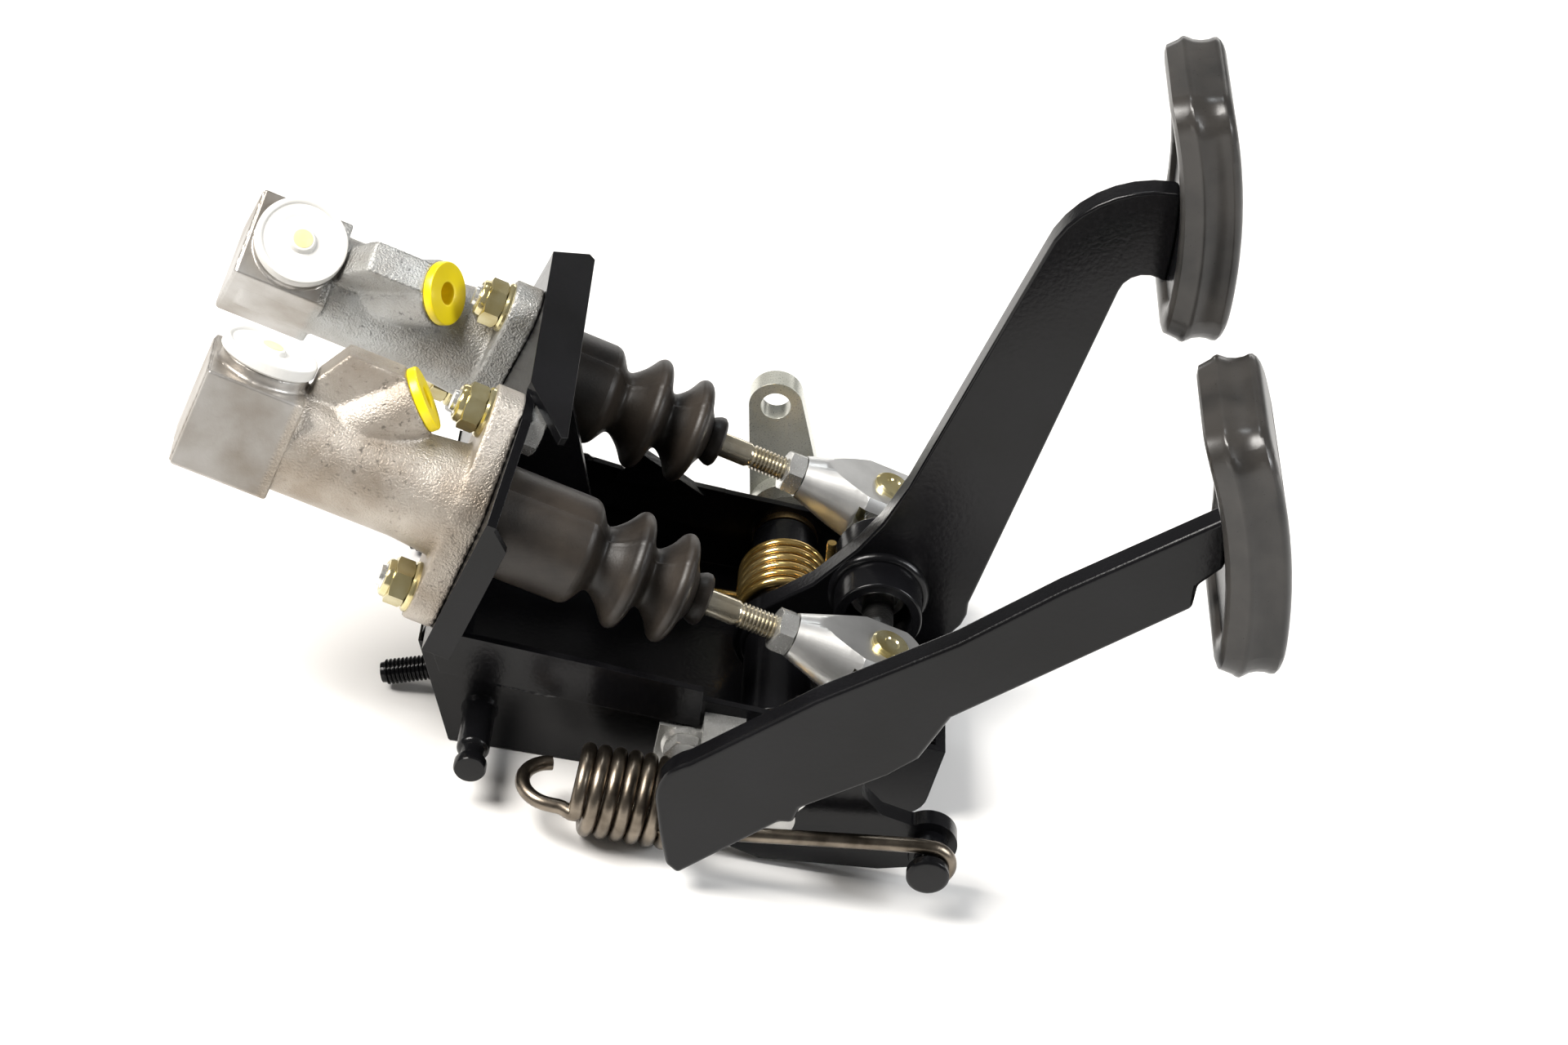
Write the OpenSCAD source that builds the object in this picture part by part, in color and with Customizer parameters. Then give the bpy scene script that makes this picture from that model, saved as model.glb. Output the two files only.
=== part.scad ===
// Pedal box: two floor-hinged pedals, twin master cylinders on a balance bar, clutch shaft with cable lever.
// Millimetres. X rearward to the pads, Y away from the clutch side, Z up, origin under the tray's middle.

/* [Tray] */
// Length of the tray floor
tray_length = 150; // [100:1:220]
// Width over the tray walls
tray_width = 112; // [80:1:160]
// Sheet thickness of tray and bracket
sheet = 2.5; // [1.5:0.1:4]
// Wall height at the rear
wall_height = 28; // [20:1:50]
// Wall height at the front edge
front_height = 37; // [25:1:60]
// Forward lean of the front wall at its top
front_lean = 14; // [0:1:30]
// Outside radius of the rear bend
bend_r = 9; // [4:0.5:14]

/* [Pivot] */
// Pivot axis behind the tray's middle
pivot_x = 24; // [0:1:60]
// Pivot axis above the tray's underside
pivot_z = 18; // [12:0.5:40]
// Cross shaft diameter
shaft_d = 16; // [10:0.5:25]
// Brake hub tube outside diameter
hub_d = 22; // [18:0.5:40]
// Wall of the bushes on the shaft
bush_wall = 1.5; // [1:0.1:3]
// Radial running clearance of the bushes
run_gap = 0.05; // [0.02:0.01:0.1]

/* [Cylinders] */
// Slope of the cylinder axes
axis_tilt = 14.5; // [0:0.5:30]
// Distance of a cylinder axis inside the tray's outer face
axis_inset = 14; // [6:0.5:24]
// Balance bar axis behind the pivot
bar_dx = 27; // [15:1:40]
// Balance bar axis above the pivot
bar_dz = 27; // [20:1:60]
// Bracket plate's rear face, ahead of the balance bar
plate_u = 130; // [90:1:160]
// Thickness of the cylinder flange
flange_t = 9; // [6:0.5:14]
// Pitch of the two flange bolts
bolt_pitch = 57.15; // [45:0.05:70]
// Roll of the flange bolts from upright
bolt_roll = 27; // [0:1:90]
// Outside diameter of the cylinder body
body_d = 33; // [26:0.5:45]
// Length of the cylinder body ahead of its flange
body_length = 82; // [70:1:140]
// Piston bore
bore_d = 19; // [14:0.1:26]
// Roll of the near cylinder's bosses, towards the far side
near_roll = 16; // [0:1:90]
// Roll of the far cylinder's bosses, towards the near side
far_roll = 32; // [0:1:90]

/* [Rods] */
// Push rod diameter
rod_d = 8; // [6:0.5:12]
// Balance bar diameter
bar_d = 10; // [8:0.5:14]
// Balance tube outside diameter
tube_d = 28; // [20:0.5:36]
// Balance tube inside diameter
tube_bore = 21; // [16:0.5:28]
// Length of the balance tube
tube_length = 36; // [20:1:50]
// Barrel pin diameter
barrel_d = 12.5; // [10:0.5:18]

/* [Pedals] */
// Thickness of the pedal arms
arm_t = 8; // [5:0.5:12]
// Far face of the clutch arm, from the middle plane
clutch_y = 100; // [80:1:140]
// Pad width
pad_width = 62; // [45:1:90]
// Pad height
pad_height = 78; // [55:1:110]
// Steel thickness of the pad plates
pad_steel = 4; // [2:0.5:6]
// Rubber thickness of the pads
pad_rubber = 12; // [8:1:20]
// Radius of a pad's bow, at its back face
pad_bow = 150; // [100:5:400]
// Brake pad's middle behind the pivot, at its back face
brake_pad_dx = 83.5; // [50:0.5:140]
// Brake pad's middle above the pivot
brake_pad_dz = 189.5; // [120:0.5:260]
// Clutch pad's middle behind the pivot, at its back face
clutch_pad_dx = 100; // [50:0.5:150]
// Clutch pad's middle above the pivot
clutch_pad_dz = 150; // [100:0.5:220]
// Slope of the brake pad
brake_pad_tilt = 12; // [0:0.5:40]
// Slope of the clutch pad
clutch_pad_tilt = 17; // [0:0.5:40]
// Centres of the cable lever
cable_lever_length = 41; // [30:1:60]
// Eye of the cable lever
eye_d = 10; // [6:0.5:14]

/* [Springs] */
// Helper spring outside diameter
helper_od = 28.5; // [20:0.5:40]
// Helper spring wire
helper_wire = 4.6; // [3:0.1:6]
// Helper spring turns
helper_turns = 6; // [4:1:12]
// Torsion spring outside diameter
torsion_od = 29.8; // [26:0.1:50]
// Torsion spring wire
torsion_wire = 3; // [2:0.1:5]

/* [Hidden] */
$fn = 48;
half_w = tray_width / 2;
front_x = -tray_length / 2;
rear_x = tray_length / 2;
front_angle = atan(front_lean / front_height);
shaft_r = shaft_d / 2;
bush_r = shaft_r + run_gap;
hub_r = hub_d / 2;
hub_bore_r = shaft_r + bush_wall + run_gap;
hub_half = half_w - sheet - 3.5;
cyl_y = half_w - axis_inset;
bar_x = pivot_x + bar_dx;
bar_z = pivot_z + bar_dz;
plate_t = sheet + 0.5;
bracket_near = half_w + 10;
bracket_far = half_w + 4;
// Top and foot of the bracket plate, square to the axis, clear of the flange bolts
bolt_rise = bolt_pitch / 2 * cos(bolt_roll);
plate_top = bolt_rise + 7.5;
plate_low = -bolt_rise - 12.5;
leg_top = plate_low + 3;
flange_u = plate_u + plate_t;
body_u = flange_u + flange_t;
front_u = body_u + body_length;
bore_r = bore_d / 2;
// Play left between pieces that touch in one body
touch = 0.02;
spigot_r = 13.5;
boot_length = 72;
spigot_u = plate_u - 14;
ball_u = plate_u + 16;
ball_r = 4.5;
piston_r = bore_r - run_gap;
piston_back = ball_u - 4;
piston_front = ball_u + 22;
bore_end = body_u + 66;
port_u = front_u - 16;
port_h = 20;
inlet_u = body_u + 46;
inlet_h = 36;
// Flat-sided web of the casting between its two bosses
web_t = 11;
web_top = 32.5;
rod_r = rod_d / 2;
bar_r = bar_d / 2;
tube_r = tube_d / 2;
tube_bore_r = tube_bore / 2;
barrel_r = barrel_d / 2;
barrel_half = 11;
// Flats milled on a clevis: half its height, half its width
clevis_h = 9.3;
clevis_w = 13;
nut_near_u = 29;
nut_h = 6;
lever_y = clutch_y - 11;
lever_t = 6;
hook_y = clutch_y - 2.7;
pin_x = pivot_x + 49;
pin_z = pivot_z;
pin_groove_r = 4;
helper_r = (helper_od - helper_wire) / 2;
wire_r = helper_wire / 2;
coil_z = helper_od / 2 + 0.3;
coil_y = hook_y - helper_r;
coil_front = -34;
coil_rear = coil_front + helper_turns * (helper_wire + 0.1);
loop_r = pin_groove_r + wire_r + 0.2;
torsion_r = (torsion_od - torsion_wire) / 2;
torsion_turns = 6;
torsion_far = hub_half - 15;
torsion_near = arm_t / 2 + 5;
cable_y = 72;
cable_t = 8;
eye_x = pivot_x - cable_lever_length * sin(16);
eye_z = pivot_z + cable_lever_length * cos(16);
anchor_x = front_x + 8;
anchor_z = 14;
brake_pad_x = pivot_x + brake_pad_dx;
brake_pad_z = pivot_z + brake_pad_dz;
clutch_pad_x = pivot_x + clutch_pad_dx;
clutch_pad_z = pivot_z + clutch_pad_dz;
// Lowest line of the bracket plate, just over the front wall's edge
tongue_w = (front_height + 0.1 - bar_z - plate_u * sin(axis_tilt)) / cos(axis_tilt);
stud_z = 12;
// Splined shank of a stud, pressed into the wall
stud_shank_r = 4.4;
stud_y = 35;

// Moves into a cylinder's frame: x square to the axis and up, y to the far side, z forward along the axis.
module axis_frame(y) {
  translate([bar_x, y, bar_z]) rotate([0, axis_tilt - 90, 0]) children();
}

// Point of the XZ plane at u along a cylinder axis and w square to it.
function on_axis(u, w) = [bar_x - u * cos(axis_tilt) + w * sin(axis_tilt),
  bar_z + u * sin(axis_tilt) + w * cos(axis_tilt)];
function arc(x, z, r, a0, a1, n) = [for (i = [0:n]) let (a = a0 + (a1 - a0) * i / n)
  [x + r * cos(a), z + r * sin(a)]];

// Extrudes an outline drawn in the XZ plane from y0 to y1.
module side_plate(y0, y1) {
  translate([0, y1, 0]) rotate([90, 0, 0]) linear_extrude(y1 - y0) children();
}

// Round bar across the tray, from y0 to y1.
module across(x, z, r, y0, y1) {
  translate([x, y1, z]) rotate([90, 0, 0]) cylinder(r = r, h = y1 - y0);
}

// Turns a piece of the near side (s = -1) round to the far side (s = 1).
module at_side(s) {
  translate([pivot_x, 0, 0]) rotate([0, 0, s < 0 ? 0 : 180]) translate([-pivot_x, 0, 0]) children();
}

// Moves into a pad's frame: x across, y up the pad, z out of its face.
module pad_frame(x, y, z, tilt) {
  translate([x, y, z]) rotate([0, -tilt, 0]) rotate([90, 0, 90]) children();
}

function unit(v) = v / norm(v);
function tangent(p, i) = unit(p[min(i + 1, len(p) - 1)] - p[max(i - 1, 0)]);
function carry(n, t) = unit(n - (n * t) * t);
function frames(p, n0) = [for (i = 0, n = carry(n0, tangent(p, 0)); i < len(p);
  i = i + 1, n = i < len(p) ? carry(n, tangent(p, i)) : n) n];

// Round wire along a path.
module wire(p, r, n0, sides = 8) {
  f = frames(p, n0);
  pts = [for (i = [0:len(p) - 1]) let (t = tangent(p, i), b = cross(t, f[i]))
    for (k = [0:sides - 1]) p[i] + r * (cos(360 * k / sides) * f[i] + sin(360 * k / sides) * b)];
  last = (len(p) - 1) * sides;
  polyhedron(pts, concat(
    [[for (k = [0:sides - 1]) k]],
    [[for (k = [0:sides - 1]) last + sides - 1 - k]],
    [for (i = [0:len(p) - 2]) for (k = [0:sides - 1])
      [i * sides + k, (i + 1) * sides + k, (i + 1) * sides + (k + 1) % sides, i * sides + (k + 1) % sides]]));
}

module tray() color("#101012") difference() {
  side_plate(-half_w, half_w) tray_outline();
  side_plate(-half_w + sheet, half_w - sheet) tray_inside();
  across(pivot_x, pivot_z, shaft_r + 2, -half_w - 1, half_w + 1);
  across(anchor_x, anchor_z, 4, -half_w - 1, 0);
  across(pivot_x - 27, pivot_z - 2, 4, -half_w - 1, 0);
  for (s = [-1, 1]) stud_frame(s * stud_y) translate([0, 0, -10]) cylinder(r = stud_shank_r, h = 20);
}

module tray_outline() {
  polygon(concat([[front_x, 0]], arc(rear_x - bend_r, bend_r, bend_r, -90, 0, 6),
    [[rear_x + 1.5, wall_height], [front_x - front_lean, front_height]]));
}

module tray_inside() {
  top = wall_height + 20;
  wall = sheet / cos(front_angle);
  polygon(concat([[front_x - sheet * tan(front_angle) + wall, sheet]],
    arc(rear_x - bend_r, bend_r, bend_r - sheet, -90, 0, 6),
    [[rear_x + 1.5 - sheet, top], [front_x - top * tan(front_angle) + wall, top]]));
}

// Frame square to the front wall, z pointing out of it.
module stud_frame(y) {
  translate([front_x - stud_z * tan(front_angle), y, stud_z]) rotate([0, -90 - front_angle, 0]) children();
}

module stud_at(y) color("#17171a") stud_frame(y) {
  translate([0, 0, -sheet - 4 - touch]) cylinder(r = 6.5, h = 4, $fn = 6);
  translate([0, 0, -sheet - 0.5]) cylinder(r = stud_shank_r, h = sheet + 0.5);
  translate([0, 0, -0.5]) cylinder(r = 3.4, h = 3);
  translate([0, 0, 1.6]) cylinder(r = 4, h = 19);
}
module stud_near() stud_at(-stud_y);
module stud_far() stud_at(stud_y);

module bracket() color("#141416") {
  axis_frame(0) difference() {
    union() {
      translate([0, 0, plate_u]) linear_extrude(plate_t)
        polygon([[plate_low, -bracket_near], [plate_top - 19, -bracket_near], [plate_top, 20 - half_w],
          [plate_top, bracket_far - 6], [plate_top - 23, bracket_far], [plate_low, bracket_far]]);
      translate([tongue_w, -half_w + sheet + 0.3, plate_u])
        cube([plate_low + 0.5 - tongue_w, tray_width - 2 * sheet - 0.6, plate_t]);
      translate([plate_top, 0, plate_u + plate_t]) rotate([0, 90, 0]) linear_extrude(plate_t)
        polygon([[0, 36 - half_w], [0, bracket_far - 6], [12, bracket_far + 1], [14, bracket_far - 1],
          [14, 15 - half_w], [12, 14 - half_w]]);
      // the folded flange's root, let into the plate's top edge
      translate([plate_top - 1, 36 - half_w, plate_u]) cube([1 + plate_t, bracket_far - 42 + half_w, plate_t]);
      translate([0, plate_t - bracket_near, 0]) rotate([90, 0, 0]) linear_extrude(plate_t)
        polygon([[plate_low, plate_u + 0.5], [plate_top - 20, plate_u + 0.5], [plate_top - 26, plate_u - 6],
          [plate_low, plate_u - 6]]);
    }
    for (s = [-1, 1]) translate([0, s * cyl_y, plate_u - 1]) {
      cylinder(r = spigot_r, h = 10);
      rotate([0, 0, -s * bolt_roll]) for (e = [-1, 1]) translate([e * bolt_pitch / 2, 0, 0])
        cylinder(r = 4, h = 10);
    }
  }
  // legs along the tray walls, let into the plate at its foot
  side_plate(-half_w - sheet, -half_w) polygon([[front_x - 6, 28], [pivot_x - 24, 23.5], [pivot_x - 25, 37.5],
    [front_x + 40, 40.5], on_axis(plate_u, leg_top), on_axis(plate_u + 2.5, leg_top),
    on_axis(plate_u + 2.5, plate_low)]);
  side_plate(half_w - 2 * sheet, half_w - sheet) polygon([[front_x - 4, 33], [front_x + 9, 22],
    [pivot_x - 22, 18], [pivot_x - 23, 34], [front_x + 41, 36], on_axis(plate_u, leg_top),
    on_axis(plate_u + 2.5, leg_top), on_axis(plate_u + 2.5, plate_low)]);
  // gussets
  side_plate(9, 12) polygon([on_axis(plate_u + 1.5, -10), on_axis(plate_u + 1.5, 17),
    on_axis(plate_u - 14, 19), on_axis(plate_u - 40, -22), on_axis(plate_u - 40, -41),
    on_axis(plate_u - 28, -45)]);
  side_plate(half_w - 3 * sheet, half_w - sheet - 0.5) polygon([[-36, 33], [-6, 33], [-30, 46]]);
}

// Cylinder casting; s is the side, roll turns its bosses.
module cylinder_at(s, roll) color("#b9bcc0") axis_frame(s * cyl_y) difference() {
  union() {
    translate([0, 0, flange_u]) rotate([0, 0, -s * bolt_roll]) linear_extrude(flange_t) {
      circle(r = 18);
      for (e = [-1, 1]) translate([e * bolt_pitch / 2, 0]) circle(r = 9.5);
      polygon([[bolt_pitch / 2 + 2, 9.3], [3, 18], [-3, 18], [-bolt_pitch / 2 - 2, 9.3],
        [-bolt_pitch / 2 - 2, -9.3], [-3, -18], [3, -18], [bolt_pitch / 2 + 2, -9.3]]);
    }
    translate([0, 0, spigot_u]) cylinder(r = spigot_r, h = flange_u - spigot_u + 1);
    translate([0, 0, body_u - 1]) cylinder(r = body_d / 2, h = body_length - 4);
    translate([0, 0, body_u - 1]) cylinder(r1 = 18, r2 = body_d / 2, h = 14);
    rotate([0, 0, roll]) {
      translate([-15, -15, front_u - 30]) cube([31, 30, 30]);
      translate([0, 0, port_u]) rotate([0, 90, 0]) cylinder(r = 13.5, h = port_h);
      translate([0, 0, inlet_u]) rotate([0, 135, 0]) cylinder(r = 10.5, h = inlet_h);
      translate([0, web_t / 2, 0]) rotate([90, 0, 0]) linear_extrude(web_t)
        polygon([[9, port_u - 15], [port_h + 2, port_u - 15], [web_top, port_u - 21],
          [web_top, inlet_u - 18.5], [9, inlet_u - 8]]);
    }
  }
  translate([0, 0, spigot_u - 1]) cylinder(r = bore_r, h = bore_end - spigot_u + 1);
  rotate([0, 0, -s * bolt_roll]) for (e = [-1, 1]) translate([e * bolt_pitch / 2, 0, flange_u - 1])
    cylinder(r = 4, h = flange_t + 2);
  rotate([0, 0, roll]) {
    translate([0, 0, port_u]) rotate([0, 90, 0]) translate([0, 0, port_h - 8]) cylinder(r = 5, h = 20);
    translate([0, 0, inlet_u]) rotate([0, 135, 0]) translate([0, 0, inlet_h - 11]) cylinder(r = 6, h = 20);
  }
}
module cylinder_near() cylinder_at(-1, near_roll);
module cylinder_far() cylinder_at(1, -far_roll);

module cap_at(s, roll) color("#f2f0ea") axis_frame(s * cyl_y) rotate([0, 0, roll])
  translate([0, 0, port_u]) rotate([0, 90, 0]) translate([0, 0, port_h]) {
    cylinder(r = 14.5, h = 4);
    translate([0, 0, -7]) cylinder(r = 5, h = 7.5);
    translate([0, 0, 3.9]) cylinder(r = 4, h = 0.8);
  }
module port_cap_near() cap_at(-1, near_roll);
module port_cap_far() cap_at(1, -far_roll);

module plug_at(s, roll) color("#f2d800") axis_frame(s * cyl_y) rotate([0, 0, roll])
  translate([0, 0, inlet_u]) rotate([0, 135, 0]) translate([0, 0, inlet_h]) difference() {
    union() {
      cylinder(r = 10, h = 3);
      translate([0, 0, -9]) cylinder(r = 6, h = 9.5);
    }
    translate([0, 0, -5]) cylinder(r = 3.5, h = 10);
  }
module inlet_plug_near() plug_at(-1, near_roll);
module inlet_plug_far() plug_at(1, -far_roll);

// Flange bolt with its head behind the plate; e picks the upper or lower one.
module bolt_at(s, e) color("#c9cbcf") axis_frame(s * cyl_y) rotate([0, 0, -s * bolt_roll])
  translate([e * bolt_pitch / 2, 0, plate_u]) {
    translate([0, 0, -5.3]) cylinder(r = 7.5, h = 5.3, $fn = 6);
    translate([0, 0, -0.5]) cylinder(r = 4, h = flange_u + flange_t - plate_u + 11.5);
  }
module bolt_near_top() bolt_at(-1, 1);
module bolt_near_low() bolt_at(-1, -1);
module bolt_far_top() bolt_at(1, 1);
module bolt_far_low() bolt_at(1, -1);

module nut_at(s, e) color("#c8a64a") axis_frame(s * cyl_y) rotate([0, 0, -s * bolt_roll])
  translate([e * bolt_pitch / 2, 0, body_u]) difference() {
    union() {
      cylinder(r = 8, h = 1.6);
      translate([0, 0, 1.5]) cylinder(r = 7.5, h = 6.1, $fn = 6);
      translate([0, 0, 7.5]) cylinder(r = 5.6, h = 2);
    }
    translate([0, 0, -1]) cylinder(r = 4, h = 12);
  }
module nut_near_top() nut_at(-1, 1);
module nut_near_low() nut_at(-1, -1);
module nut_far_top() nut_at(1, 1);
module nut_far_low() nut_at(1, -1);

// Boot profile: collar on the spigot, two sloped folds with rounded rims and a lip on the rod.
module boot_at(s) color("#241d18") axis_frame(s * cyl_y) translate([0, 0, plate_u])
  rotate_extrude() polygon(concat(
  [[spigot_r + 0.05, -0.1], [16.9, -0.1]],
  arc(14.4, -29.4, 2.5, 0, -70, 4),
  [[11, -34.6], [10.2, -36.2]],
  arc(16.2, -45.8, 2.6, 48, -68, 6),
  [[10.4, -50.9], [9.2, -52.2]],
  arc(15, -60.8, 2.6, 48, -68, 6),
  [[8.6, -66.2], [7.4, -68], [8.4, -69.6], [8.4, -71], [7.6, -boot_length], [rod_r + 0.2, -boot_length],
    [rod_r + 0.2, -66.2], [13.8, -61.2], [7, -52], [7, -51], [15.6, -45.8], [8.2, -37], [8.2, -35.4],
    [12.8, -29], [13, -14.8], [spigot_r + 0.05, -14.6]]));
module boot_near() boot_at(-1);
module boot_far() boot_at(1);

module piston_at(s) color("#c9b27a") axis_frame(s * cyl_y) difference() {
  translate([0, 0, piston_back]) cylinder(r = piston_r, h = piston_front - piston_back);
  translate([0, 0, ball_u]) sphere(r = ball_r + 0.6);
  translate([0, 0, piston_back - 1]) cylinder(r = ball_r + 0.6, h = 5);
}
module piston_near() piston_at(-1);
module piston_far() piston_at(1);

module piston_spring_at(s) color("#9a9da2") axis_frame(s * cyl_y)
  wire([for (i = [0:80]) [6.8 * cos(i * 22.5), 6.8 * sin(i * 22.5), piston_front + 1.2
    + (bore_end - piston_front - 2.4) * i / 80]], 1, [1, 0, 0], 6);
module piston_spring_near() piston_spring_at(-1);
module piston_spring_far() piston_spring_at(1);

module anchor_pin() color("#17171a") {
  across(anchor_x, anchor_z, 4, -half_w - 0.5, -half_w + sheet + 1);
  across(anchor_x, anchor_z, 5, -half_w - 20, -half_w);
  across(anchor_x, anchor_z, 3.6, -half_w - 25, -half_w - 19.5);
  across(anchor_x, anchor_z, 5, -half_w - 29, -half_w - 24.5);
}

// Stop under which the helper lever's front lobe rests.
module stop_plate() color("#c4c6c2") difference() {
  union() {
    side_plate(-half_w - 3, -half_w) polygon([[pivot_x - 36, pivot_z - 11], [pivot_x - 10, pivot_z - 11],
      [pivot_x - 10, 28], [pivot_x - 23, 28], [pivot_x - 23, 22.5], [pivot_x - 36, 22.5]]);
    side_plate(-lever_y - 1, -half_w - 2.5) translate([pivot_x - 23, 24.5]) square([13, 3.5]);
  }
  across(pivot_x - 27, pivot_z - 2, 4, -half_w - 4, -half_w + 1);
}

module stop_bolt() color("#c4c6c2") {
  across(pivot_x - 27, pivot_z - 2, 7.5, -half_w - 4.6, -half_w - 3);
  translate([pivot_x - 27, -half_w - 4.5, pivot_z - 2]) rotate([90, 0, 0]) cylinder(r = 6.6, h = 5, $fn = 6);
  across(pivot_x - 27, pivot_z - 2, 4, -half_w - 5, -half_w + sheet + 1);
  translate([pivot_x - 27, -half_w + sheet + 6, pivot_z - 2]) rotate([90, 0, 0])
    cylinder(r = 6.6, h = 6, $fn = 6);
}

module wall_bush_at(s) color("#b08d57") difference() {
  union() {
    at_side(s) across(pivot_x, pivot_z, shaft_r + 2, -half_w, sheet + 0.5 - half_w);
    at_side(s) across(pivot_x, pivot_z, hub_r, sheet - half_w, sheet + 3 - half_w);
  }
  across(pivot_x, pivot_z, bush_r, -half_w - 1, half_w + 1);
}
module wall_bush_near() wall_bush_at(-1);
module wall_bush_far() wall_bush_at(1);

module torsion_spring() color("#b8892e") translate([pivot_x, 0, pivot_z])
  wire(concat(
    [[-34, torsion_far, -torsion_r], [-17, torsion_far, -torsion_r]],
    [for (i = [0:125]) let (a = 270 + i * (360 * torsion_turns + 90) / 125)
      [torsion_r * cos(a), torsion_far - (torsion_far - torsion_near) * i / 125, torsion_r * sin(a)]],
    [[12.9, torsion_near, 8], [11.1, torsion_near, 27], [10.4, torsion_near, 34]]),
    torsion_wire / 2, [0, 1, 0]);

// Points of the XZ plane just under a pad's bowed back, from y0 to y1 along the pad, for the end of its arm.
function pad_back(x, z, tilt, y0, y1) = [for (i = [0:4]) let (y = y0 + (y1 - y0) * i / 4,
  d = sqrt(pow(pad_bow - touch, 2) - y * y) - pad_bow) [x + d * cos(tilt) - y * sin(tilt),
    z + d * sin(tilt) + y * cos(tilt)]];

module brake_arm() color("#131315") difference() {
  union() {
    across(pivot_x, pivot_z, hub_r + 4, -arm_t / 2, arm_t / 2);
    side_plate(-arm_t / 2, arm_t / 2) polygon(concat(
      [[12, 14], [12, 25], [17, 32], [30, 44], [41, 60], [47, 72], [52, 87]],
      arc(107.3, 172.5, 34, 170.7, 92, 8),
      pad_back(brake_pad_x, brake_pad_z, brake_pad_tilt, -1.5, -31),
      arc(106, 169.5, 8, 90, 174, 4),
      [[81, 53]], arc(66, 43, 14.5, 15, -75, 5), [[50, 20], [35, 12], [30, 5]]));
  }
  across(pivot_x, pivot_z, hub_r, -arm_t, arm_t);
  across(bar_x, bar_z, tube_r, -arm_t, arm_t);
}

module brake_hub() color("#131315") difference() {
  across(pivot_x, pivot_z, hub_r, -hub_half, hub_half);
  across(pivot_x, pivot_z, hub_bore_r, -hub_half - 1, hub_half + 1);
}

module hub_bush_at(s) color("#b08d57") difference() {
  at_side(s) across(pivot_x, pivot_z, hub_bore_r, -hub_half, 14 - hub_half);
  across(pivot_x, pivot_z, bush_r, -hub_half - 1, hub_half + 1);
}
module hub_bush_near() hub_bush_at(-1);
module hub_bush_far() hub_bush_at(1);

module balance_tube() color("#161618") difference() {
  across(bar_x, bar_z, tube_r, -tube_length / 2, tube_length / 2);
  across(bar_x, bar_z, tube_bore_r, -tube_length, tube_length);
}

// Pad outline: rounded, narrower at its top; g grows it outward.
module pad_outline(g) {
  w = pad_width / 2 + g - 10;
  h = pad_height / 2 + g - 10;
  for (s = [-1, 1]) {
    translate([s * w, -h]) circle(r = 10);
    translate([s * (w - 5), h]) circle(r = 10);
  }
  polygon([[-w, -h - 10], [w, -h - 10], [w + 10, -h], [w + 5, h], [w - 5, h + 10], [5 - w, h + 10],
    [-w - 5, h], [-w - 10, -h]]);
}

// Bowed layer of a pad between two distances from its back.
module pad_layer(z0, z1, g) intersection() {
  translate([0, 0, -20]) linear_extrude(60) pad_outline(g);
  translate([-pad_width, 0, -pad_bow]) rotate([0, 90, 0]) difference() {
    cylinder(r = pad_bow + z1, h = 2 * pad_width);
    translate([0, 0, -1]) cylinder(r = pad_bow + z0, h = 2 * pad_width + 2);
  }
}
module pad_plate_shape() pad_layer(0, pad_steel - touch, -2);
module pad_shape() difference() {
  pad_layer(pad_steel, pad_steel + pad_rubber, 0);
  for (i = [-2:2]) translate([9 - pad_width / 2, i * 10.5 - 2, pad_steel + pad_rubber - 5])
    cube([pad_width - 18, 4, 10]);
}

module brake_pad_place() pad_frame(brake_pad_x, 0, brake_pad_z, brake_pad_tilt) children();
module brake_pad_plate() color("#161618") brake_pad_place() pad_plate_shape();
module brake_pad() color("#1b1b1d") brake_pad_place() pad_shape();
module clutch_pad_place() pad_frame(clutch_pad_x, -clutch_y - arm_t / 2, clutch_pad_z, clutch_pad_tilt)
  children();
module clutch_pad_plate() color("#161618") clutch_pad_place() pad_plate_shape();
module clutch_pad() color("#1b1b1d") clutch_pad_place() pad_shape();

module balance_bar() color("#8f9296") across(bar_x, bar_z, bar_r, -cyl_y - 15, cyl_y + 15);

module bar_bearing() color("#a7aaae") translate([bar_x, 0, bar_z]) rotate([90, 0, 0]) rotate_extrude()
  polygon(concat([[bar_r, -6]], [for (a = [-34.8:8.7:34.8]) (tube_bore_r - run_gap) * [cos(a), sin(a)]],
    [[bar_r, 6]]));

module barrel_at(s) color("#c8a64a") axis_frame(s * cyl_y) difference() {
  translate([-barrel_half, 0, 0]) rotate([0, 90, 0]) cylinder(r = barrel_r, h = 2 * barrel_half);
  translate([0, 20, 0]) rotate([90, 0, 0]) cylinder(r = bar_r, h = 40);
}
module barrel_near() barrel_at(-1);
module barrel_far() barrel_at(1);

// Fork: a turned cone with four milled flats; the barrel stands in both lugs, the bar passes between them.
module clevis_at(s) color("#c2c4c6") axis_frame(s * cyl_y) difference() {
  intersection() {
    union() {
      translate([0, 0, 8]) cylinder(r1 = 14, r2 = 7, h = nut_near_u - 8);
      translate([0, 0, -12]) cylinder(r = 14, h = 20.1);
    }
    translate([-clevis_h, -clevis_w, -12]) cube([2 * clevis_h, 2 * clevis_w, 50]);
    union() {
      translate([-20, -20, 0]) cube([40, 40, 40]);
      translate([-20, 0, 0]) rotate([0, 90, 0]) cylinder(r = clevis_w - 1, h = 40);
    }
  }
  translate([-5.6, -20, -20]) cube([11.2, 40, 30]);
  translate([-20, 0, 0]) rotate([0, 90, 0]) cylinder(r = barrel_r, h = 40);
  translate([0, 0, 12]) cylinder(r = rod_r, h = 30);
}
module clevis_near() clevis_at(-1);
module clevis_far() clevis_at(1);

module push_rod_at(s) color("#c8a64a") axis_frame(s * cyl_y) {
  translate([0, 0, 12]) cylinder(r = rod_r, h = ball_u - 12 - 3);
  translate([0, 0, ball_u]) sphere(r = ball_r);
}
module push_rod_near() push_rod_at(-1);
module push_rod_far() push_rod_at(1);

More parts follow.
